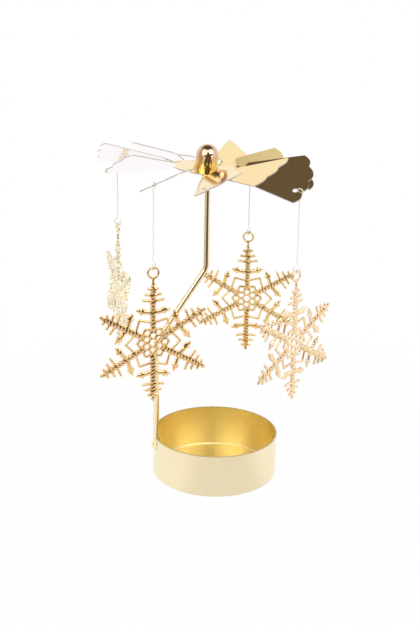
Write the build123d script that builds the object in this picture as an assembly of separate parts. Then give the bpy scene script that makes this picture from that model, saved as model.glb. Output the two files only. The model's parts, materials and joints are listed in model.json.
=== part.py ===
from build123d import *
from math import atan2, cos, degrees, pi, radians, sin
import os

# Millimetres. The cup stands on z = 0 with its axis on Z, and the post rises from the -X side.

# Candle cup, drawn from one sheet
cup_diameter = 50.0
cup_height = 17.5
cup_wall = 0.6
cup_corner = 1.6            # outer radius between wall and floor
floor_corner = 0.4          # inner bevel between wall and floor
upper_strip = 1.9           # height of the strip pressed inwards, from the rim down
lower_strip = 1.6           # height of the strip pressed outwards, below it
slit = 0.4                  # height of the slits that free the strips
foot_inset = 0.1            # from the middle of the wall inwards to the post
rod_fit = 0.03              # clearance round the post in the strips

# Post, one bent rod with a pointed top
rod_diameter = 2.4
post_reach = 19.9           # from the lower leg to the upper leg
lower_bend = 57.5           # height of the corner above the lower leg
upper_bend = 86.5           # height of the corner below the upper leg
bend_radius = 5.0
point_length = 3.0
point_radius = 0.2          # flat on the very point

# Rotor, one stamped and twisted sheet
hub_height = 125.5          # middle of the hub sheet, on the spin axis
rotor_radius = 41.0         # over the lobes
rotor_sheet = 0.4
hub_radius = 13.0
blade_count = 12
blade_pitch = 32.0          # twist of each blade
blade_span = 27.0           # angle a blade takes in the flat sheet
neck_offset = 6.0           # from the neck to the middle of the blade, in degrees
neck_width = 3.4
neck_length = 2.4
lobe_count = 3
lobe_depth = 1.2
lobe_steps = 4              # straight steps that stand for the round of a lobe
corner_cut = 1.4            # off the free inner corner of the blade
hand_twists = {0: -18.0, 10: -12.0}   # blades set by hand off the pitch, by number, in degrees
hand_lifts = {3: -5.0, 5: 11.0, 6: -4.0, 8: -3.0, 9: -4.0, 10: -17.0, 11: -12.0}   # and off the level
hole_diameter = 2.2
hole_strip = 1.5            # sheet left between hole and notch
hanger_count = 4
first_azimuth = 135.0       # of hanger 1, about the spin axis
rotor_lean = 6.0            # the loaded rotor settles off level on its point
lean_azimuth = -2.0         # side that sinks

# Bearing cap, turned, with a conical seat inside
cap_diameter = 8.4
cap_height = 9.2            # top of the dome over the middle of the hub sheet
flange_width = 0.5
flange_height = 0.9
point_depth = 1.7           # metal left over the seat
seat_gap = 0.05             # running clearance of the point in its seat
seat_height = 2.6
bore_clearance = 0.4        # left round the post when the rotor leans
spigot_wall = 0.6
lip_width = 0.7
lip_height = 0.6
rivet_fit = 0.02

# Hangers, bent wire with a hook at each end
wire_diameter = 0.48
wire_sides = 6              # flats that stand for the round of so thin a wire
hanger_drop = 29.3          # between the centres of the two hooks
upper_hook = 1.2            # radius to the middle of the wire, round the strip of the blade
lower_hook = 1.45           # the same, through the eyelet
crook_radius = 1.2          # bend between the straight wire and a hook
hook_sweep = 295.0          # angle of each hook
hook_steps = 9              # straight steps that stand for the round of a hook
crook_steps = 2             # and of a crook

# Snowflakes, flat castings
flake_radius = 22.9         # tip of an arm
flake_thickness = 1.2
arm_count = 6
arm_width = 1.8
tip_length = 2.4
barb_count = 3
barb_start = 15.8           # radius of the longest barbs
barb_step = 2.25
barb_length = 4.2           # longest, along the barb
barb_shrink = 1.1           # from one pair to the next
barb_width = 1.1            # at the root, narrowing to a point
barb_rise = 8.0             # degrees towards the tip of the arm
branch_radius = 11.3
branch_length = 6.4
branch_width = 1.0
branch_rise = 12.0
twig_place = 3.6            # where the two twigs leave a branch
twig_reach = 1.2            # from the middle of the branch to the tip of a twig
twig_width = 1.1            # at its root, along the branch
zigzag_root = 8.0           # radius where the zigzag line meets an arm
zigzag_peak = 10.7
line_width = 0.8            # of the zigzag, along a radius
web_root = 5.3              # the pierced centre, at an arm
web_peak = 6.3              # the pierced centre, between arms
web_pitch = 2.5
web_hole = 2.2
eyelet_rise = 26.5          # centre of the eyelet over the centre of the flake
eyelet_radius = 2.0         # middle of the ring
eyelet_width = 0.95         # of the ring, in the plane of the flake
eyelet_thickness = 0.7
eyelet_sides = 14           # flats that stand for the round of the ring
rest_gap = 0.25             # ring over the hook it hangs on
flake_turns = (46.0, 45.0, -18.0, 28.0)   # each flake about its hanger, from facing outwards

# Sizes that follow from the ones above
cup_radius = cup_diameter / 2
rod_radius = rod_diameter / 2
upper_foot = cup_height - upper_strip
ledge_height = upper_foot - lower_strip - 2 * slit   # where the post stands on the slit wall
wall_x = -(cup_radius - cup_wall / 2)
foot_x = wall_x + foot_inset
axis_x = foot_x + post_reach
point_over_hub = cap_height - point_depth
point_height = hub_height + point_over_hub
blade_start = hub_radius + neck_length
blade_low = neck_offset - blade_span / 2
neck_end = blade_start * cos(radians(blade_low))
blades_per_hanger = blade_count // hanger_count
lobe_span = blade_span / lobe_count
notch_radius = rotor_radius - lobe_depth
hole_angle = blade_low + lobe_span
hole_radius = notch_radius - hole_strip - hole_diameter / 2
hang_radius = notch_radius - hole_strip / 2
spigot_depth = rotor_sheet / 2 + lip_height
bore_radius = rod_radius + bore_clearance + (point_over_hub + spigot_depth) * sin(radians(rotor_lean))
spigot_radius = bore_radius + spigot_wall
ring_top = lower_hook - wire_diameter / 2 - rest_gap
flake_drop = hanger_drop + ring_top - eyelet_width / 2 + eyelet_radius + eyelet_rise


def polar(radius, angle):
    """Point in the drawing plane, from a radius and an angle in degrees."""
    return (radius * cos(radians(angle)), radius * sin(radians(angle)))


def candle_cup():
    """Drawn cup whose wall is slit and pressed in and out round the foot of the post."""
    outside = Pos(0, 0, cup_height / 2) * Cylinder(cup_radius, cup_height)
    outside = fillet(outside.edges().sort_by(Axis.Z)[0], cup_corner)
    inside = Pos(0, 0, cup_wall) * Cylinder(
        cup_radius - cup_wall, cup_height, align=(Align.CENTER, Align.CENTER, Align.MIN)
    )
    inside = chamfer(inside.edges().sort_by(Axis.Z)[0], floor_corner)
    bore = rod_radius + rod_fit
    upper = strip(bore, upper_foot, cup_height, 1)
    lower = strip(bore, ledge_height + slit, upper_foot - slit, -1)
    passage = upright(bore, ledge_height, cup_height + cup_wall)
    cup = outside - inside + upper + lower
    slit_width = 2 * (bore + 2 * cup_wall)
    for height in (ledge_height, upper_foot - slit):
        cut = Box(4 * cup_wall, slit_width, slit, align=(Align.CENTER, Align.CENTER, Align.MIN))
        cup -= Pos(foot_x, 0, height) * cut
    return cup - passage


def upright(radius, low, high):
    """Round bar on the line of the post's foot."""
    bar = Cylinder(radius, high - low, align=(Align.CENTER, Align.CENTER, Align.MIN))
    return Pos(foot_x, 0, low) * bar


def strip(bore, low, high, side):
    """Half round over the post, on the inner (+1) or outer (-1) side of the cup wall."""
    reach = bore + 2 * cup_wall
    near = wall_x - side * cup_wall / 4
    far = foot_x + side * reach
    keep = Box(abs(far - near), 2 * reach, 2 * cup_height)
    return upright(bore + cup_wall, low, high) & Pos((near + far) / 2, 0, 0) * keep


def post():
    """Rod with two bends, ending in the point that carries the rotor."""
    corners = [
        (foot_x, 0, ledge_height + rod_fit),
        (foot_x, 0, lower_bend),
        (axis_x, 0, upper_bend),
        (axis_x, 0, point_height - point_length),
    ]
    path = FilletPolyline(*corners, radius=bend_radius)
    rod = sweep(Plane(origin=path @ 0, z_dir=path % 0) * Circle(rod_radius), path=path)
    point = Cone(rod_radius, point_radius, point_length, align=(Align.CENTER, Align.CENTER, Align.MIN))
    return rod + Pos(axis_x, 0, point_height - point_length) * point


# The rotor and its cap are drawn level, with the hub at the origin, then leaned about the point.
rotor_place = (
    Pos(axis_x, 0, point_height)
    * Rot(0, 0, lean_azimuth)
    * Rot(0, rotor_lean, 0)
    * Rot(0, 0, -lean_azimuth)
    * Pos(0, 0, -point_over_hub)
)


def blade_turn(number):
    """Turn of a blade about the hub."""
    return Rot(0, 0, first_azimuth - hole_angle + number * 360 / blade_count)


def blade_bend(number):
    """A blade drawn flat along X, pitched about its neck and lifted at the edge of the hub."""
    edge = Pos(hub_radius, 0, 0)
    lift = Rot(0, -hand_lifts.get(number, 0), 0)
    return edge * lift * edge.inverse() * Rot(blade_pitch + hand_twists.get(number, 0), 0, 0)


def blade(pierced):
    """Flat blade with a scalloped end, drawn along the line of its neck."""
    blade_high = blade_low + blade_span
    points = [(neck_end, -neck_width / 2), polar(blade_start, blade_low)]
    for lobe in range(lobe_count):
        for step in range(lobe_steps):
            share = step / lobe_steps
            radius = notch_radius + lobe_depth * sin(pi * share)
            points.append(polar(radius, blade_low + (lobe + share) * lobe_span))
    points.append(polar(notch_radius, blade_high))
    points.append(polar(blade_start + corner_cut, blade_high))
    points.append(polar(blade_start, blade_high - degrees(corner_cut / blade_start)))
    points.append((neck_end, neck_width / 2))
    outline = make_face(Polyline(*points, close=True))
    if pierced:
        outline -= Pos(*polar(hole_radius, hole_angle)) * Circle(hole_diameter / 2)
    return extrude(outline, rotor_sheet / 2, both=True)


def neck(bend):
    """Strip let into the level hub and twisted to the bend of the blade."""
    section = Plane.YZ * Rectangle(neck_width, rotor_sheet)
    level = Pos(hub_radius, 0, 0) * section
    bent = bend * Pos(neck_end, 0, 0) * section
    return extrude(level, -neck_width / 2) + loft([level, bent])


def rotor_fan():
    """Hub disc with twelve twisted blades, some pierced for the hangers."""
    hub = Cylinder(hub_radius, rotor_sheet) - Cylinder(spigot_radius + rivet_fit, 2 * rotor_sheet)
    plain = blade(False)
    pierced = blade(True)
    blades = []
    for number in range(blade_count):
        shape = plain if number % blades_per_hanger else pierced
        bend = blade_bend(number)
        blades.append(blade_turn(number) * bend * shape)
        blades.append(blade_turn(number) * neck(bend))
    return rotor_place * (hub + blades)


def bearing_cap():
    """Dome on a flange, riveted through the hub, hollow up to the seat of the point."""
    low = rotor_sheet / 2 + rivet_fit
    round_base = (Align.CENTER, Align.CENTER, Align.MIN)
    cap_radius = cap_diameter / 2
    dome = Pos(0, 0, low) * Cylinder(cap_radius, cap_height - cap_radius - low, align=round_base)
    dome += Pos(0, 0, cap_height - cap_radius) * Sphere(cap_radius)
    flange = Pos(0, 0, low) * Cylinder(cap_radius + flange_width, flange_height, align=round_base)
    spigot = Pos(0, 0, -spigot_depth) * Cylinder(spigot_radius, spigot_depth + low, align=round_base)
    lip = Pos(0, 0, -spigot_depth) * Cylinder(spigot_radius + lip_width, lip_height - rivet_fit, align=round_base)
    seat_top = point_over_hub + seat_gap
    bore_top = seat_top - seat_height
    bore = Pos(0, 0, -spigot_depth) * Cylinder(bore_radius, spigot_depth + bore_top, align=round_base)
    seat = Pos(0, 0, bore_top) * Cone(bore_radius, point_radius * 2, seat_height, align=round_base)
    below_hub = Pos(0, 0, -spigot_depth) * Box(
        4 * cap_diameter, 4 * cap_diameter, spigot_depth + low, align=round_base
    )
    return rotor_place * ((dome - below_hub) + flange + spigot + lip - bore - seat)


def hanger_place(number):
    """Where a hanger hooks over the strip of its pierced blade, with X pointing outwards."""
    blade_number = number * blades_per_hanger
    place = rotor_place * blade_turn(blade_number) * blade_bend(blade_number)
    point = (place * Pos(*polar(hang_radius, hole_angle), 0)).position
    outward = degrees(atan2(point.Y, point.X - axis_x))
    return Pos(point) * Rot(0, 0, outward)


def hook(radius):
    """Crook and hook from the top of the straight wire round the origin, as (across, up) points."""
    reach = radius + crook_radius
    low = (reach**2 - crook_radius**2) ** 0.5
    first = degrees(atan2(-low, crook_radius))
    points = []
    for step in range(crook_steps):
        across, rise = polar(crook_radius, 180 + first * step / crook_steps)
        points.append((crook_radius + across, rise - low))
    for step in range(hook_steps + 1):
        points.append(polar(radius, first + hook_sweep * step / hook_steps))
    return points


def hanger():
    """Wire in the X-Z plane, hooked over the blade above and through the eyelet below."""
    upper = [(across, 0, rise) for across, rise in hook(upper_hook)]
    lower = [(across, 0, -hanger_drop - rise) for across, rise in hook(lower_hook)]
    path = Polyline(*reversed(upper), *lower)
    section = Plane(origin=path @ 0, z_dir=path % 0) * RegularPolygon(wire_diameter / 2, wire_sides)
    return sweep(section, path=path, transition=Transition.RIGHT)


def bar(start, angle, length, width):
    """Straight bar in the drawing plane, from a point along an angle."""
    return Pos(*start) * Rot(0, 0, angle) * Rectangle(length, width, align=(Align.MIN, Align.CENTER))


def spike(start, angle, length, width):
    """Pointed bar in the drawing plane, from a point along an angle."""
    return Pos(*start) * Rot(0, 0, angle) * Polygon((0, -width / 2), (length, 0), (0, width / 2), align=None)


def flake_branch(side):
    """Branch with two twigs near its end, on one side of an arm along X."""
    edge = branch_width / 2
    twig_tip = (twig_place + twig_width, twig_reach)
    half = [(0, edge), (twig_place, edge), twig_tip, (twig_place + twig_width, edge)]
    outline = half + [(branch_length, 0)] + [(along, -across) for along, across in reversed(half)]
    return Pos(branch_radius, 0) * Rot(0, 0, side * (90 - branch_rise)) * Polygon(*outline, align=None)


def flake_arm():
    """One arm along X with its barbs and branches."""
    root = web_root - arm_width / 2
    shoulder = flake_radius - tip_length
    shapes = [
        bar((root, 0), 0, shoulder - root, arm_width),
        spike((shoulder, 0), 0, tip_length, arm_width),
    ]
    for side in (1, -1):
        for number in range(barb_count):
            start = (barb_start + number * barb_step, 0)
            length = barb_length - number * barb_shrink
            shapes.append(spike(start, side * (90 - barb_rise), length, barb_width))
        shapes.append(flake_branch(side))
    return Sketch() + shapes


def star(root, peak):
    """Star outline with a root on each arm and a peak between two arms."""
    step = 360 / arm_count
    points = []
    for number in range(arm_count):
        points.append(polar(root, number * step))
        points.append(polar(peak, (number + 0.5) * step))
    return Polygon(*points, align=None)


def flake_web():
    """Pierced centre plate with a honeycomb of holes, inside a zigzag line."""
    step = 360 / arm_count
    hole = RegularPolygon(web_hole / 2, 6)
    between = 2 * web_pitch * cos(radians(step / 2))
    holes = [hole]
    for number in range(arm_count):
        holes.append(Pos(*polar(web_pitch, number * step)) * hole)
        holes.append(Pos(*polar(between, (number + 0.5) * step)) * hole)
    zigzag = star(zigzag_root, zigzag_peak) - star(zigzag_root - line_width, zigzag_peak - line_width)
    return star(web_root, web_peak) - holes + zigzag


def snowflake():
    """Casting in the X-Z plane, centred on the origin, with its eyelet above."""
    arm = flake_arm()
    flat = flake_web() + [Rot(0, 0, number * 360 / arm_count) * arm for number in range(arm_count)]
    stem_foot = flake_radius - tip_length
    stem = bar((0, stem_foot), 90, eyelet_rise - eyelet_radius - stem_foot, eyelet_width)
    outer = RegularPolygon(eyelet_radius + eyelet_width / 2, eyelet_sides)
    ring = outer - RegularPolygon(eyelet_radius - eyelet_width / 2, eyelet_sides)
    eyelet = stem + Pos(0, eyelet_rise) * ring
    body = extrude(Rot(0, 0, 90) * flat, flake_thickness / 2, both=True)
    body += extrude(eyelet, eyelet_thickness / 2, both=True)
    return Rot(90, 0, 0) * body


nodes = {
    "candle_cup": candle_cup(),
    "post": post(),
    "rotor_fan": rotor_fan(),
    "bearing_cap": bearing_cap(),
}
one_hanger = hanger()
one_flake = snowflake()
for number in range(hanger_count):
    place = hanger_place(number)
    turn = Rot(0, 0, 90 + flake_turns[number])
    nodes[f"hanger_{number + 1}"] = place * one_hanger
    nodes[f"snowflake_{number + 1}"] = place * Pos(0, 0, -flake_drop) * turn * one_flake

os.makedirs("parts", exist_ok=True)
for name, shape in nodes.items():
    export_step(shape, f"parts/{name}.step")
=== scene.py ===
# %% [markdown]
# # A tealight carousel with snowflake charms
# A candle in the cup warms the air, the air turns a fan of twisted blades, and four cast
# snowflakes go round under it on hooked wires. The solids come from the packed model, and this
# lesson dresses them: it adds the finishes, the fine forms and a white studio to see them in.

# %% Load the packed model
import json
from math import acos, atan2, cos, degrees, pi, radians, sin, tan

import bmesh
import bpy
from mathutils import Matrix, Vector


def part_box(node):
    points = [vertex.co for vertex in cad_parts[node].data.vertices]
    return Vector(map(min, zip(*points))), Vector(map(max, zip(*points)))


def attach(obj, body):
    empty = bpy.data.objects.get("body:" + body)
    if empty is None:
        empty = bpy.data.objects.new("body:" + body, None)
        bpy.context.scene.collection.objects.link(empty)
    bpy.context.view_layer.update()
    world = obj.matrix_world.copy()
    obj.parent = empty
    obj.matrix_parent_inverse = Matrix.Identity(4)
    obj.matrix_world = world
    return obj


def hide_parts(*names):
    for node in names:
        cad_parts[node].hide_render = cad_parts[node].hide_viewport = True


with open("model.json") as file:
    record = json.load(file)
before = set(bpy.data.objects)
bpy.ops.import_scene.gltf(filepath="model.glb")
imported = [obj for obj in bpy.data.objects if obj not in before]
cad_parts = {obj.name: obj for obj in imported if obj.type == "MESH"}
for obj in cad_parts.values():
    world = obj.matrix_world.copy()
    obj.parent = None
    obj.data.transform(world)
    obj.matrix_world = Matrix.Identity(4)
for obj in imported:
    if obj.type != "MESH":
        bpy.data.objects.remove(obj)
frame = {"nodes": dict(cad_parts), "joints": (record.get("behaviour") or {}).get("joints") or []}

MM = 0.001
nodes = frame["nodes"]
joints = {joint["name"]: joint for joint in frame["joints"]}
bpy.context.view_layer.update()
print("nodes:", sorted(nodes))

# %% [markdown]
# ## Shader maths as plain Python
# A finish is a graph of nodes, and a graph is hard to read as a list of links. A small class wraps
# a socket, so that `1 - mask` or `grain * 0.2` adds the Math nodes by itself. Every other node
# comes from one method, which sets the node's own options first and then its inputs.


# %% A socket that can be calculated with
class Signal:
    """One output of a node, so that an expression on it adds Math nodes."""

    def __init__(self, graph, socket):
        self.graph = graph
        self.socket = socket

    def __add__(self, other):
        return self.graph.maths("ADD", self, other)

    def __radd__(self, other):
        return self.graph.maths("ADD", other, self)

    def __sub__(self, other):
        return self.graph.maths("SUBTRACT", self, other)

    def __rsub__(self, other):
        return self.graph.maths("SUBTRACT", other, self)

    def __mul__(self, other):
        return self.graph.maths("MULTIPLY", self, other)

    def __rmul__(self, other):
        return self.graph.maths("MULTIPLY", other, self)

    def __truediv__(self, other):
        return self.graph.maths("DIVIDE", self, other)

    def __rtruediv__(self, other):
        return self.graph.maths("DIVIDE", other, self)

    def __lt__(self, other):
        return self.graph.maths("LESS_THAN", self, other)

    def __gt__(self, other):
        return self.graph.maths("GREATER_THAN", self, other)

    def __abs__(self):
        return self.graph.maths("ABSOLUTE", self)


print("operators:", [name for name in vars(Signal) if name.startswith("__r")])

# %% [markdown]
# The graph itself belongs to a material or to the world. Its one method makes a node of any kind,
# and the few short helpers under it are the combinations that come back in every finish.


# %% A graph of nodes
class Graph:
    """The nodes of a material or a world under construction."""

    def __init__(self, owner):
        owner.use_nodes = True
        self.owner = owner
        self.tree = owner.node_tree
        self.tree.nodes.clear()

    def node(self, kind, settings=None, inputs=None, output=0):
        """Add a node: its options first, then the values or links of its sockets."""
        made = self.tree.nodes.new(kind)
        for name, value in (settings or {}).items():
            setattr(made, name, value)
        for key, value in (inputs or {}).items():
            if isinstance(value, Signal):
                self.tree.links.new(value.socket, made.inputs[key])
            else:
                made.inputs[key].default_value = value
        return Signal(self, made.outputs[output]) if made.outputs else None

    def maths(self, operation, left, right=0.0):
        """A Math node on one or two numbers."""
        return self.node("ShaderNodeMath", {"operation": operation}, {0: left, 1: right})

    def place(self):
        """The point on the piece, in its own metres."""
        return self.node("ShaderNodeTexCoord", output="Object")

    def part(self, vector, axis):
        """One of the three numbers of a vector."""
        return self.node("ShaderNodeSeparateXYZ", {}, {0: vector}, axis)

    def vector(self, operation, left, right=(0, 0, 0), output=0):
        """A Vector Math node on one or two vectors."""
        return self.node("ShaderNodeVectorMath", {"operation": operation}, {0: left, 1: right}, output)

    def mix(self, factor, first, second):
        """Blend two colours."""
        return self.node("ShaderNodeMix", {"data_type": "RGBA"}, {0: factor, 6: first, 7: second}, 2)

    def noise(self, where, size, stretch=(1, 1, 1), detail=2.0):
        """Cloudy noise from 0 to 1, with patches of about the given size in metres."""
        scaled = self.vector("MULTIPLY", where, [share / size for share in stretch])
        return self.node("ShaderNodeTexNoise", {}, {"Vector": scaled, "Scale": 1.0, "Detail": detail})

    def soft_step(self, value, low, high):
        """0 under low, 1 over high, smooth between."""
        return self.node(
            "ShaderNodeMapRange", {"interpolation_type": "SMOOTHSTEP"}, {0: value, 1: low, 2: high}
        )

    def bump(self, height, depth):
        """Normals of a surface that rises by depth metres where height is 1."""
        return self.node("ShaderNodeBump", {}, {"Strength": 1.0, "Distance": depth, "Height": height})

    def metal(self, colour, roughness, normal, metallic=1.0):
        """Close the graph with a metal surface, and hand back the material."""
        inputs = {"Base Color": colour, "Metallic": metallic, "Roughness": roughness, "Normal": normal}
        return self.close(self.node("ShaderNodeBsdfPrincipled", {}, inputs))

    def close(self, surface):
        """Join the finished surface to the material's output, and hand back the material."""
        self.node("ShaderNodeOutputMaterial", {}, {"Surface": surface})
        return self.owner


def new_finish(name):
    """An empty material to build a finish in."""
    return Graph(bpy.data.materials.new(name))


def rgb(red, green, blue):
    """A colour written as it looks on a screen, from 0 to 255, in linear values."""
    return tuple(((level / 255 + 0.055) / 1.055) ** 2.4 for level in (red, green, blue)) + (1.0,)


print("gold as linear values:", [round(level, 3) for level in rgb(252, 224, 168)])

# %% [markdown]
# ## The mirror-polished sheet of the fan
# The fan is stamped from one sheet, plated and polished. A mirror has hardly a colour of its own:
# it shows the room, tinted gold. What makes it look real is that it is not perfect, so a drawn-out
# noise gives faint rolling streaks, and a larger one gives the haze of handling. The underside is
# painted a paler, near white colour, a painted reflection of the white room that it mirrors, and
# the cut edges are dull. The way that a face looks is read from its normal, not from the camera, so
# it stays put in every view.

# %% Finish of the fan
side_blend = 0.1
face_low, face_high = 0.66, 0.72
rolled_out = (0.08, 1, 1)


def sheet_gold():
    """Gold above, painted near white below as a painted reflection, and dull on the cut edges, whose
    normals are the least upright.
    """
    finish = new_finish("sheet_gold")
    where = finish.place()
    haze = finish.noise(where, 14 * MM)
    streaks = finish.noise(where, 1.2 * MM, stretch=rolled_out, detail=4.0)
    normal = finish.node("ShaderNodeNewGeometry", output="True Normal")
    upright = finish.part(normal, "Z")
    topside = finish.soft_step(upright, -side_blend, side_blend)
    sheet_face = finish.soft_step(abs(upright), face_low, face_high)
    gold = finish.mix(haze, rgb(253, 226, 164), rgb(250, 219, 152))
    # Painted reflection: the underside is painted near white, for the white room that it mirrors.
    painted_white_reflection = finish.mix(haze, rgb(255, 250, 250), rgb(253, 246, 249))
    plated = finish.mix(topside, painted_white_reflection, gold)
    colour = finish.mix(sheet_face, rgb(198, 191, 184), plated)
    roughness = 0.05 + haze * 0.04 + streaks * 0.03 + (1 - sheet_face) * 0.4
    metallic = 0.3 + sheet_face * 0.7
    return finish.metal(colour, roughness, finish.bump(streaks, 0.002 * MM), metallic)


print("cut edges lean more than", round(degrees(acos(face_low))), "degrees")

# %% [markdown]
# ## The drawn cup, polished outside and satin inside
# The cup is drawn from sheet and spun: tumbling leaves the inside satin, and the outside is
# polished with the rest. One material does both, with a mask that is 1 inside the wall. Spinning
# leaves fine rings on the floor and wall, which are noise that depends on radius and height alone.
# The rim is a plain cut edge, which stays duller and browner than the plated faces.

# %% Finish of the cup
cup_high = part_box("candle_cup")[1]
cup_radius = cup_high.y
cup_wall = 0.6 * MM
ring_pitch = 0.25 * MM
rim_depth = 0.12 * MM


def cup_gold():
    """Polished outside the wall, satin with fine rings inside it, and a brown rim."""
    finish = new_finish("cup_gold")
    where = finish.place()
    flat = finish.vector("MULTIPLY", where, (1, 1, 0))
    radius = finish.vector("LENGTH", flat, output="Value")
    height = finish.part(where, "Z")
    inside = (radius < cup_radius - cup_wall / 2) * (height > cup_wall / 2)
    haze = finish.noise(where, 12 * MM)
    rings = finish.node("ShaderNodeCombineXYZ", {}, {0: radius / ring_pitch, 2: height / ring_pitch})
    spun = finish.node("ShaderNodeTexNoise", {}, {"Vector": rings, "Scale": 1.0, "Detail": 3.0})
    outer = finish.mix(haze, rgb(250, 236, 202), rgb(246, 230, 190))
    inner = finish.mix(spun, rgb(251, 234, 176), rgb(247, 228, 164))
    plated = finish.mix(inside, outer, inner)
    rim = height > cup_high.z - rim_depth
    colour = finish.mix(rim, plated, rgb(204, 182, 136))
    roughness = 0.10 + haze * 0.05 + inside * (0.22 + spun * 0.05) + rim * 0.1
    return finish.metal(colour, roughness, finish.bump(spun * inside, 0.0015 * MM))


print("cup radius in mm:", round(cup_radius / MM, 2))

# %% [markdown]
# ## The rod, the cap and the wires
# The rod is drawn through a die, which leaves streaks along it; a noise squeezed across and long in
# height does that. The cap is turned on a lathe, so its marks go round its own axis, which leans with
# the rotor. Its dome is painted a darker, pinker gold than its foot, a painted reflection of the dim,
# rosy room that it mirrors. The wires are thin and painted near white, which is a painted sheen, and
# they count as only partly metal.

# %% Finishes of the rod, the cap and the wires
lean = radians(6.0)
lean_azimuth = radians(-2.0)
rotor_up = Vector((sin(lean) * cos(lean_azimuth), sin(lean) * sin(lean_azimuth), cos(lean)))
rotor_point = Vector(joints["rotor_spin"]["pos_m"])
dome_low, dome_high = -6.3 * MM, -1.4 * MM
lathe_pitch = 0.2 * MM
drawn_out = (1, 1, 0.03)


def rod_gold():
    """Polished, with die streaks along its length."""
    finish = new_finish("rod_gold")
    where = finish.place()
    drawn = finish.noise(where, 0.3 * MM, stretch=drawn_out, detail=3.0)
    haze = finish.noise(where, 9 * MM)
    colour = finish.mix(haze, rgb(252, 240, 208), rgb(248, 230, 188))
    return finish.metal(colour, 0.06 + drawn * 0.05 + haze * 0.03, finish.bump(drawn, 0.002 * MM))


def cap_gold():
    """Turned on a lathe: a yellow foot and a dome painted pinker as a painted reflection, by height
    along the rotor's own axis.
    """
    finish = new_finish("cap_gold")
    where = finish.vector("SUBTRACT", finish.place(), rotor_point)
    height = finish.vector("DOT_PRODUCT", where, rotor_up, "Value")
    rings = finish.node("ShaderNodeCombineXYZ", {}, {2: height / lathe_pitch})
    turned = finish.node("ShaderNodeTexNoise", {}, {"Vector": rings, "Scale": 1.0, "Detail": 2.0})
    haze = finish.noise(where, 4 * MM)
    dome = finish.soft_step(height, dome_low, dome_high)
    # Painted reflection: the dome's darker pink paints the dim, rosy room that it mirrors.
    painted_room_pink = finish.mix(haze, rgb(228, 195, 167), rgb(219, 183, 151))
    colour = finish.mix(dome, rgb(241, 208, 128), painted_room_pink)
    return finish.metal(colour, 0.04 + turned * 0.03 + haze * 0.03, finish.bump(turned, 0.0006 * MM))


def wire_gold():
    """Drawn wire, painted near white as a painted sheen, and only partly metal."""
    finish = new_finish("wire_gold")
    where = finish.place()
    haze = finish.noise(where, 2 * MM)
    drawn = finish.noise(where, 0.1 * MM, stretch=drawn_out)
    # Painted sheen: the wire is painted near white, so that it looks pale although it mirrors the dark
    # side of the room.
    colour = finish.mix(haze, rgb(255, 252, 244), rgb(253, 247, 232))
    return finish.metal(colour, 0.42 + haze * 0.08, finish.bump(drawn, 0.001 * MM), 0.4)


print("rotor leans towards", [round(part, 3) for part in rotor_up])

# %% [markdown]
# ## Dressing the solids that stay
# The cup, the rod, the fan and the cap already have the right shape, so they keep their meshes and
# only take a new material. A solid comes in with its own normals for each face, which keeps the
# sharp edges of the sheet sharp.


# %% Dress the cup, the rod, the fan and the cap
def dress(name, material):
    """Give a solid its finish."""
    solid = nodes[name]
    solid.data.materials.clear()
    solid.data.materials.append(material)


dress("candle_cup", cup_gold())
dress("post", rod_gold())
dress("rotor_fan", sheet_gold())
dress("bearing_cap", cap_gold())
print("dressed: candle_cup, post, rotor_fan, bearing_cap")

# %% [markdown]
# ## The hooked wires
# Each hanger is one piece of stiff wire with a ring bent at both ends: the upper ring hooks over the
# rim of a hole in its blade, and the lower one carries the eyelet of a flake. A curve with a round
# bevel is the natural way to draw wire, and it is smoother than the solid's stepped rings. The
# swing joint of the hanger gives its place, and the way out from the axis gives its turn.

# %% Bend the wires
wire_radius = 0.21 * MM
hanger_drop = 29.3 * MM
upper_hook = 1.2 * MM
lower_hook = 1.45 * MM
crook_radius = 1.2 * MM
hook_sweep = radians(295.0)
hook_steps = 40
crook_steps = 8
bevel_steps = 3
hanger_count = 4


def hook_points(radius):
    """Crook and ring from the top of the straight wire, as (across, up) pairs round the ring."""
    low = ((radius + crook_radius) ** 2 - crook_radius**2) ** 0.5
    first = atan2(-low, crook_radius)
    points = []
    for step in range(crook_steps):
        turn = pi + first * step / crook_steps
        points.append((crook_radius + crook_radius * cos(turn), crook_radius * sin(turn) - low))
    for step in range(hook_steps + 1):
        turn = first + hook_sweep * step / hook_steps
        points.append((radius * cos(turn), radius * sin(turn)))
    return points


def hanger_curve():
    """The wire in its own upright plane, with the upper ring at the origin."""
    upper = [(across, 0, up) for across, up in hook_points(upper_hook)]
    lower = [(across, 0, -hanger_drop - up) for across, up in hook_points(lower_hook)]
    route = upper[::-1] + lower
    curve = bpy.data.curves.new("hanger_wire", "CURVE")
    curve.dimensions = "3D"
    curve.bevel_depth = wire_radius
    curve.bevel_resolution = bevel_steps
    curve.use_fill_caps = True
    spline = curve.splines.new("POLY")
    spline.points.add(len(route) - 1)
    for point, spot in zip(spline.points, route):
        point.co = (*spot, 1.0)
    return curve


def final_mesh(piece):
    """The mesh that a curve or a modified piece comes to; the piece itself goes."""
    bpy.context.scene.collection.objects.link(piece)
    made = piece.evaluated_get(bpy.context.evaluated_depsgraph_get())
    mesh = bpy.data.meshes.new_from_object(made)
    bpy.data.objects.remove(piece)
    return mesh


def add_piece(name, data, place, body):
    """Put a new piece in place and let it ride on its body."""
    piece = bpy.data.objects.new(name, data)
    bpy.context.scene.collection.objects.link(piece)
    piece.matrix_world = place
    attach(piece, body)
    return piece


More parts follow.
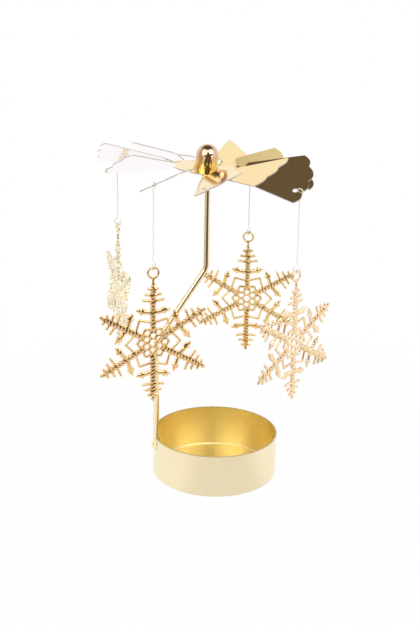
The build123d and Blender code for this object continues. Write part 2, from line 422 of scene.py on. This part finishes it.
wire_shape = final_mesh(bpy.data.objects.new("hanger_wire", hanger_curve()))
wire_shape.materials.clear()
wire_shape.materials.append(wire_gold())
wire_shape.shade_smooth()
for number in range(1, hanger_count + 1):
    spot = Vector(joints[f"hanger_swing_{number}"]["pos_m"])
    outward = atan2(spot.y - rotor_point.y, spot.x - rotor_point.x)
    place = Matrix.Translation(spot) @ Matrix.Rotation(outward, 4, "Z")
    wire = add_piece(f"wire_{number}", wire_shape, place, f"hanger_{number}")
    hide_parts(f"hanger_{number}")
print("wires:", hanger_count, "of", round(2 * wire_radius / MM, 2), "mm")

# %% [markdown]
# ## The plane of each flake
# The packed flakes hang at four different turns. Everything below is drawn once, in a flake's own
# plane with X across and Z up, and one matrix for each flake takes that drawing to its place: the
# twist joint gives the centre line, the lowest tip gives the height, and the corner that is furthest
# from the centre line gives the turn.

# %% Find the plane of each flake
flake_radius = 22.9 * MM


def flake_place(number):
    """Matrix from a flake's own plane (X across, Z up, centre at the origin) to the frame."""
    name = f"snowflake_{number}"
    axis = Vector(joints[f"snowflake_twist_{number}"]["pos_m"])
    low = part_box(name)[0]
    centre = Vector((axis.x, axis.y, low.z + flake_radius))
    widest = max(nodes[name].data.vertices, key=lambda corner: (corner.co - centre).to_2d().length)
    reach = widest.co - centre
    return Matrix.Translation(centre) @ Matrix.Rotation(atan2(reach.y, reach.x), 4, "Z")


flake_places = {number: flake_place(number) for number in range(1, hanger_count + 1)}
for number, place in flake_places.items():
    print("flake", number, "centre in mm:", [round(part / MM, 1) for part in place.translation])

# %% [markdown]
# ## Modelling the casting
# A real flake is cast from a master that was built up in wax: twisted ropes, thin wires, beads and
# little rings, melted into each other. The model is built the same way. Balls and round bars are laid
# over each other as separate closed shapes, and a voxel remesh then melts them into one skin, which a
# light smoothing rounds at the joints. Booleans would keep every joint sharp, and take longer.

# %% Balls, bars and rings
ball_sides = 14
ball_shape = bmesh.new()
bmesh.ops.create_uvsphere(
    ball_shape, u_segments=ball_sides, v_segments=ball_sides // 2 + 1, radius=1.0
)
ball_points = [corner.co.copy() for corner in ball_shape.verts]
ball_faces = [[corner.index for corner in face.verts] for face in ball_shape.faces]
ball_shape.free()


def ahead(heading, distance=1.0):
    """Step in the flake's plane; heading 0 is across, a quarter turn is up."""
    return Vector((distance * cos(heading), 0, distance * sin(heading)))


class Wax:
    """Closed shapes that lie through each other, kept as lists of points and faces."""

    def __init__(self):
        self.points = []
        self.faces = []

    def add(self, place, points, faces):
        """One more closed shape, moved to its place."""
        first = len(self.points)
        self.points.extend(place @ point for point in points)
        self.faces.extend([first + corner for corner in face] for face in faces)

    def ball(self, centre, radius):
        """A round ball."""
        place = Matrix.Translation(centre) @ Matrix.Scale(radius, 4)
        self.add(place, ball_points, ball_faces)

    def bar(self, start, end, first, last):
        """A round bar that goes from one half width to another, with round ends."""
        run = end - start
        turns = [2 * pi * side / ball_sides for side in range(ball_sides)]
        points = [Vector((first * cos(turn), first * sin(turn), 0)) for turn in turns]
        points += [Vector((last * cos(turn), last * sin(turn), run.length)) for turn in turns]
        faces = [list(range(ball_sides))[::-1], list(range(ball_sides, 2 * ball_sides))]
        for side in range(ball_sides):
            after = (side + 1) % ball_sides
            faces.append([side, after, ball_sides + after, ball_sides + side])
        turn = run.to_track_quat("Z", "Y").to_matrix().to_4x4()
        self.add(Matrix.Translation(start) @ turn, points, faces)
        self.ball(start, first)
        self.ball(end, last)

    def loop(self, points, half):
        """A closed line of bars."""
        for start, end in zip(points, points[1:] + points[:1]):
            self.bar(start, end, half, half)

    def ring(self, centre, radius, half, steps):
        """A round ring."""
        self.loop([centre + ahead(2 * pi * step / steps, radius) for step in range(steps)], half)


print("faces of a ball:", len(ball_faces))

# %% [markdown]
# An arm is a rope: one slanted strand after another across a core. Three pairs of barbs stand near
# its tip, each with three small beads. Each kind of bar below has its half widths from root to tip,
# and the places of beads and strands are shares of the length.

# %% A strand and a barb
rope_pitch = 1.36 * MM
rope_start = 5.6 * MM
rope_slant = radians(24.0)
strand_half = 0.63 * MM
strand_reach = 0.70 * MM
barb_widths = (0.52 * MM, 0.40 * MM)
bead_places = (0.42, 0.68, 0.94)
bead_radius = 0.60 * MM


def add_strand(wax, centre, heading, share):
    """One strand of the rope, which crosses its core at a slant."""
    across = ahead(heading + rope_slant + pi / 2, share * strand_reach)
    wax.bar(centre - across, centre + across, share * strand_half, share * strand_half)


def add_barb(wax, root, heading, length):
    """A short bar with its beads."""
    tip = root + ahead(heading, length)
    wax.bar(root, tip, *barb_widths)
    for share in bead_places:
        wax.ball(root.lerp(tip, share), bead_radius)


print("thickness of a rope in mm:", round(2 * strand_half / MM, 2))

# %% [markdown]
# Lower down, a pair of branches stands on each arm. A branch is a thinner rope, which swells to a fork
# with two twigs and then tapers, so that it ends in a little arrowhead.

# %% A branch
branch_length = 6.4 * MM
branch_widths = (0.54 * MM, 0.70 * MM, 0.38 * MM)
branch_strand_places = (0.22, 0.38, 0.54, 0.82)
branch_strand_share = 0.78
twig_place = 3.5 * MM
twig_turn = radians(48.0)
twig_length = 1.35 * MM
twig_widths = (0.66 * MM, 0.46 * MM)


def add_branch(wax, root, heading):
    """A branch with its strands and its arrowhead."""
    tip = root + ahead(heading, branch_length)
    fork = root + ahead(heading, twig_place)
    wax.bar(root, fork, *branch_widths[:2])
    wax.bar(fork, tip, *branch_widths[1:])
    for share in branch_strand_places:
        add_strand(wax, root.lerp(tip, share), heading, branch_strand_share)
    for side in (1, -1):
        wax.bar(fork, fork + ahead(heading + side * twig_turn, twig_length), *twig_widths)


print("branch and twig in mm:", round(branch_length / MM, 1), round(twig_length / MM, 2))

# %% [markdown]
# These make up an arm: its core, the strands along it, the pairs of barbs, which get shorter towards
# the tip, and the pair of branches. A loop lays the strands, so that the rope ends with its arm.

# %% One arm
core_start = 4.2 * MM
core_widths = (0.46 * MM, 0.40 * MM)
tip_strand_share = 0.75
barb_pairs = 3
barb_start = 15.8 * MM
barb_step = 2.25 * MM
barb_rise = radians(8.0)
barb_length = 4.0 * MM
barb_shrink = 1.1 * MM
branch_start = 11.3 * MM
branch_rise = radians(12.0)


def add_arm(wax, heading):
    """A rope with its barbs and branches; the strands get smaller at the tip."""
    tip = ahead(heading, flake_radius - core_widths[1])
    wax.bar(ahead(heading, core_start), tip, *core_widths)
    distance = rope_start
    last_barb = barb_start + (barb_pairs - 1) * barb_step
    while distance < flake_radius - rope_pitch / 2:
        share = 1.0 if distance < last_barb else tip_strand_share
        add_strand(wax, ahead(heading, distance), heading, share)
        distance += rope_pitch
    for side in (1, -1):
        barb_heading = heading + side * (pi / 2 - barb_rise)
        for number in range(barb_pairs):
            root = ahead(heading, barb_start + number * barb_step)
            add_barb(wax, root, barb_heading, barb_length - number * barb_shrink)
        add_branch(wax, ahead(heading, branch_start), heading + side * (pi / 2 - branch_rise))


print("strands along an arm:", round((flake_radius - rope_start) / rope_pitch))

# %% [markdown]
# The centre is a honeycomb of thirteen rings inside two zigzag lines, and the eyelet stands on the
# upper arm. A ring is a closed line of short bars, which the melting rounds.

# %% Lay out one flake
arm_count = 6
arm_turn = 2 * pi / arm_count
upright_arm = pi / 2
arm_headings = [upright_arm + number * arm_turn for number in range(arm_count)]
line_half = 0.42 * MM
middle_ring, middle_steps = 1.52 * MM, 18
inner_rings, inner_place = 1.2 * MM, 2.72 * MM
outer_rings, outer_place = 1.22 * MM, 4.45 * MM
ring_steps = 14
inner_zigzag = (5.0 * MM, 6.1 * MM)
outer_zigzag = (7.6 * MM, 10.3 * MM)
zigzag_half = 0.48 * MM
eyelet_rise = 26.5 * MM
eyelet_radius = 2.0 * MM
eyelet_steps = 32
stem_overlap = 1.0 * MM
stem_widths = (0.50 * MM, 0.44 * MM)


def zigzag(root, peak):
    """Star of points, with a root on each arm and a peak between two arms."""
    points = []
    for heading in arm_headings:
        points.append(ahead(heading, root))
        points.append(ahead(heading + arm_turn / 2, peak))
    return points


def loose_flake():
    """All the balls and bars of one flake, still lying through each other."""
    wax = Wax()
    wax.ring(Vector(), middle_ring, line_half, middle_steps)
    for heading in arm_headings:
        add_arm(wax, heading)
        wax.ring(ahead(heading, inner_place), inner_rings, line_half, ring_steps)
        wax.ring(ahead(heading + arm_turn / 2, outer_place), outer_rings, line_half, ring_steps)
    wax.loop(zigzag(*inner_zigzag), line_half)
    wax.loop(zigzag(*outer_zigzag), zigzag_half)
    stem_foot = ahead(upright_arm, flake_radius - stem_overlap)
    wax.bar(stem_foot, ahead(upright_arm, eyelet_rise - eyelet_radius), *stem_widths)
    wax.ring(ahead(upright_arm, eyelet_rise), eyelet_radius, stem_widths[1], eyelet_steps)
    return wax


loose = loose_flake()
print("faces before melting:", len(loose.faces))

# %% [markdown]
# The remesh needs a voxel a good deal smaller than the thinnest bar. Afterwards the skin has far more
# faces than its shape needs, so a decimation takes most of them away again.

# %% Melt it together
voxel = 0.17 * MM
rub_share, rub_rounds = 0.5, 2
kept_share = 0.25


def cast_flake(wax):
    """One smooth skin round the loose shapes."""
    rough = bpy.data.meshes.new("flake_rough")
    rough.from_pydata(wax.points, [], wax.faces)
    master = bpy.data.objects.new("flake_rough", rough)
    melt = master.modifiers.new("melt", "REMESH")
    melt.mode = "VOXEL"
    melt.voxel_size = voxel
    rub = master.modifiers.new("rub", "SMOOTH")
    rub.factor = rub_share
    rub.iterations = rub_rounds
    lighten = master.modifiers.new("lighten", "DECIMATE")
    lighten.ratio = kept_share
    cast = final_mesh(master)
    cast.shade_smooth()
    return cast


flake_cast = cast_flake(loose)
print("faces of one flake:", len(flake_cast.polygons))

# %% [markdown]
# ## The finish of the flakes
# The hollows of the casting get painted shade, a browner colour where light would fall less, and
# the crests stay bright. Two masks find the hollows. Pointiness is low wherever the skin is hollow,
# on any part of the flake. Along the ropes the painted shade is stronger, so the material also folds
# the six arms into one: the angle round the centre, less its nearest arm, gives the distance along
# the arm and across it.

# %% Painted shade in the hollows of the ropes
rope_half = strand_half + strand_reach
rope_core = 0.6 * rope_half
shade_start = 0.6


def rope_gap_shade(finish, where):
    """1 between two strands of a rope, where shade is painted, and 0 on the strands and off the arms.
    """
    angle = finish.maths("ARCTAN2", finish.part(where, "X"), finish.part(where, "Z"))
    nearest = finish.maths("ROUND", angle / arm_turn)
    off_arm = angle - nearest * arm_turn
    flat = finish.vector("MULTIPLY", where, (1, 0, 1))
    radius = finish.vector("LENGTH", flat, output="Value")
    across = radius * finish.maths("SINE", off_arm)
    along = radius * finish.maths("COSINE", off_arm)
    phase = (along - rope_start - across * tan(rope_slant)) * (2 * pi / rope_pitch)
    between = 0.5 - finish.maths("COSINE", phase) * 0.5
    on_arm = 1 - finish.soft_step(abs(across), rope_core, rope_half)
    on_rope = on_arm * finish.soft_step(along, rope_start - rope_pitch, rope_start)
    return finish.soft_step(between, shade_start, 1.0) * on_rope


print("rope", round(2 * rope_half / MM, 2), "mm wide, a strand every", round(rope_pitch / MM, 2), "mm")

# %% [markdown]
# The finish then runs from a bright to a deep gold with the patina, and goes to a tone of painted
# shade in the hollows. The four flakes are lit differently, so each has its own three tones and its
# own share of painted shade, which paint the light and shade that fall on that flake.

# %% Finish of the flakes
crease_low, crease_high = 0.40, 0.50
crease_shade_share = 0.4


def flake_gold(name, bright, deep, hollow_shade, shade_share):
    """Crests between the bright and the deep tone, with painted shade of a third tone in the hollows.
    """
    finish = new_finish(name)
    where = finish.place()
    patina_and_shade = finish.noise(where, 2.2 * MM, detail=3.0)
    grain = finish.noise(where, 0.35 * MM)
    pointed = finish.node("ShaderNodeNewGeometry", output="Pointiness")
    # Painted shade: the colour is darker in creases, where pointiness is low, and in the gaps of the
    # ropes.
    crease_shade = 1 - finish.soft_step(pointed, crease_low, crease_high)
    rope = rope_gap_shade(finish, where) * (0.6 + patina_and_shade * 0.4)
    painted_shade = (rope + (1 - rope) * crease_shade * crease_shade_share) * shade_share
    gold = finish.mix(patina_and_shade, bright, deep)
    colour = finish.mix(painted_shade, gold, hollow_shade)
    return finish.metal(colour, 0.16 + grain * 0.08 + painted_shade * 0.1, finish.bump(grain, 0.012 * MM))


# Painted light: each flake's tones and share of painted shade paint how the light falls on that flake.
flake_lit_tones = {
    1: (rgb(255, 246, 220), rgb(254, 237, 200), rgb(116, 78, 40), 0.9),
    2: (rgb(255, 225, 168), rgb(255, 207, 144), rgb(150, 74, 28), 0.92),
    3: (rgb(254, 231, 194), rgb(252, 219, 174), rgb(196, 136, 80), 0.55),
    4: (rgb(255, 233, 182), rgb(255, 220, 156), rgb(146, 76, 26), 0.92),
}
for number, place in flake_places.items():
    data = flake_cast.copy()
    data.materials.clear()
    data.materials.append(flake_gold(f"flake_gold_{number}", *flake_lit_tones[number]))
    flake = add_piece(f"flake_{number}", data, place, f"charm_{number}")
    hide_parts(f"snowflake_{number}")
print("flakes:", len(flake_places))

# %% [markdown]
# ## The camera
# The camera looks down a little, from the left of the post's plane. It is set by what can be
# measured: the distance to a point near the middle of the object, the angles, and a long lens.

# %% Set up the camera
view_azimuth = radians(-17.8)
view_elevation = radians(18.94)
view_roll = radians(0.98)
view_distance = 489.2 * MM
target_across = -2.72 * MM
target_height = 66.85 * MM
sensor = 36.0
lens_in_pixels = 1250
frame_height = 630
view_limit = 10.0

camera_turn = Matrix.Rotation(view_azimuth, 4, "Z")
target = camera_turn @ Vector((target_across, 0, target_height))
back = camera_turn @ Vector((0, -cos(view_elevation), sin(view_elevation)))
camera_data = bpy.data.cameras.new("camera")
camera_data.lens = sensor * lens_in_pixels / frame_height
camera_data.sensor_width = sensor
camera_data.clip_end = view_limit
camera = bpy.data.objects.new("camera", camera_data)
bpy.context.scene.collection.objects.link(camera)
bpy.context.scene.camera = camera
aim = (-back).to_track_quat("-Z", "Y").to_matrix().to_4x4()
camera.matrix_world = (
    Matrix.Translation(target + back * view_distance) @ aim @ Matrix.Rotation(view_roll, 4, "Z")
)
print("camera at", [round(part, 3) for part in camera.matrix_world.translation])
print("lens in mm:", round(camera_data.lens, 1))

# %% [markdown]
# ## The table
# The object stands on a white table. Where it is seen, in the picture or in a mirror, the table is
# mostly its own even white, with a small share of lit cloth that keeps the shadow under the cup.
# Further out the share fades, so the table ends in the white of the room without an edge. A mirror
# also shows that the table is a little dimmer on the camera's side, which shades the cup's wall.

# %% Lay the table
table_radius = 0.24
table_white_share = 0.97
shadow_reach = 0.10
table_sides = 96
cloth_tone = (0.86, 0.86, 0.86, 1)
white = (1, 1, 1, 1)
dim_turn = radians(14.0)
table_dim_low, table_dim_high = 0.45, 0.98
table_dim_tone = (0.86, 0.85, 0.835, 1)


def side_of_room(turn):
    """Level direction to a side of the room; turn 0 is the camera's side, and minus is its left."""
    return camera_turn @ Matrix.Rotation(turn, 4, "Z") @ Vector((0, -1, 0))


def ray(graph, way):
    """1 for rays of one kind."""
    return graph.node("ShaderNodeLightPath", output=f"Is {way} Ray")


def seen_directly(graph):
    """1 for rays that show the background: from the camera, in a mirror or through glass."""
    seen = ray(graph, "Camera") + ray(graph, "Glossy") + ray(graph, "Transmission")
    return graph.node("ShaderNodeClamp", {}, {0: seen})


def table_white():
    """Its own even white where it is seen, and lit cloth for all other light."""
    finish = new_finish("table_white")
    distance = finish.vector("LENGTH", finish.place(), output="Value")
    open_table = finish.soft_step(distance, shadow_reach, 2 * shadow_reach)
    cloth = finish.node("ShaderNodeBsdfDiffuse", {}, {"Color": cloth_tone})
    outward = finish.vector("NORMALIZE", finish.place())
    dim_side = finish.vector("DOT_PRODUCT", outward, side_of_room(dim_turn), "Value")
    dim = finish.soft_step(dim_side, table_dim_low, table_dim_high)
    tone = finish.mix(dim * ray(finish, "Glossy"), white, table_dim_tone)
    glow = finish.node("ShaderNodeEmission", {}, {"Color": tone, "Strength": 1.0})
    share = seen_directly(finish) * (table_white_share + open_table * (1 - table_white_share))
    return finish.close(finish.node("ShaderNodeMixShader", {}, {0: share, 1: cloth, 2: glow}))


disc = bmesh.new()
bmesh.ops.create_circle(disc, cap_ends=True, segments=table_sides, radius=table_radius)
table_data = bpy.data.meshes.new("table")
disc.to_mesh(table_data)
disc.free()
table_data.materials.append(table_white())
table = bpy.data.objects.new("table", table_data)
bpy.context.scene.collection.objects.link(table)
print("table", 2 * table_radius, "m across")

# %% [markdown]
# ## The room
# Polished gold shows its room, so the room is part of the finish. This one is white, with a dark
# ceiling, which the blades that lie flat mirror as deep brown, and a dim side behind the camera,
# which draws the dark lines on the dome and the rod. A rose wall on the left warms their left sides.
# Mirrors see that room by direction. The camera sees plain white, and as a light the room is dimmer,
# so that colours come out about as written.

# %% Paint the room
light_level = 0.5
ceiling_low, ceiling_high = 0.60, 0.87
ceiling_tone = (0.13, 0.11, 0.10, 1)
dim_half = radians(40.0)
dim_edge = radians(4.0)
dim_tone = (0.10, 0.09, 0.085, 1)
rose_turn = radians(-70.0)
rose_half = radians(28.0)
rose_edge = radians(12.0)
rose_tone = (0.60, 0.49, 0.45, 1)


def wall(room, level, turn, half, edge):
    """1 towards one side of the room, with a soft edge."""
    facing = room.vector("DOT_PRODUCT", level, side_of_room(turn), "Value")
    return room.soft_step(facing, cos(half + edge), cos(half - edge))


def paint_room():
    """The world: painted walls for mirrors, plain white for the camera, dimmer as a light."""
    room = Graph(bpy.data.worlds.new("room"))
    toward = room.node("ShaderNodeTexCoord", output="Generated")
    level = room.vector("NORMALIZE", room.vector("MULTIPLY", toward, (1, 1, 0)))
    rose = wall(room, level, rose_turn, rose_half, rose_edge)
    dim = wall(room, level, dim_turn, dim_half, dim_edge)
    ceiling = room.soft_step(room.part(toward, "Z"), ceiling_low, ceiling_high)
    walls = room.mix(dim, room.mix(rose, white, rose_tone), dim_tone)
    mirrored = room.mix(ceiling, walls, ceiling_tone)
    colour = room.mix(ray(room, "Glossy"), white, mirrored)
    strength = light_level + seen_directly(room) * (1 - light_level)
    light = room.node("ShaderNodeBackground", {}, {"Color": colour, "Strength": strength})
    room.node("ShaderNodeOutputWorld", {}, {"Surface": light})
    return room.owner


bpy.context.scene.world = paint_room()
print("dim side:", round(degrees(2 * dim_half)), "degrees; rose wall:", round(degrees(2 * rose_half)))

# %% [markdown]
# ## The lamps
# Two broad soft boxes stand at the sides, at a plain level. They give the cup's satin inside its
# glow, and a soft shadow on the table.


# %% Light the studio
def soft_box(name, azimuth, elevation, distance, size, power):
    """A square lamp that faces the middle of the object; azimuth 0 is the camera's side."""
    side = Matrix.Rotation(azimuth, 4, "Z") @ Vector((0, -cos(elevation), sin(elevation)))
    spot = camera_turn @ side
    lamp_data = bpy.data.lights.new(name, "AREA")
    lamp_data.size = size
    lamp_data.energy = power
    lamp = bpy.data.objects.new(name, lamp_data)
    bpy.context.scene.collection.objects.link(lamp)
    lamp.location = target + spot * distance
    lamp.rotation_mode = "QUATERNION"
    lamp.rotation_quaternion = (-spot).to_track_quat("-Z", "Y")


soft_box("left_box", radians(-33), radians(42), distance=0.9, size=0.9, power=4.0)
soft_box("right_box", radians(46), radians(45), distance=0.9, size=0.7, power=3.2)
bpy.context.scene.view_settings.view_transform = "Standard"
print("lamps:", [lamp.name for lamp in bpy.data.lights])

# %% [markdown]
# ## The end
# The scene is brought up to date.

# %% Finish
bpy.context.view_layer.update()
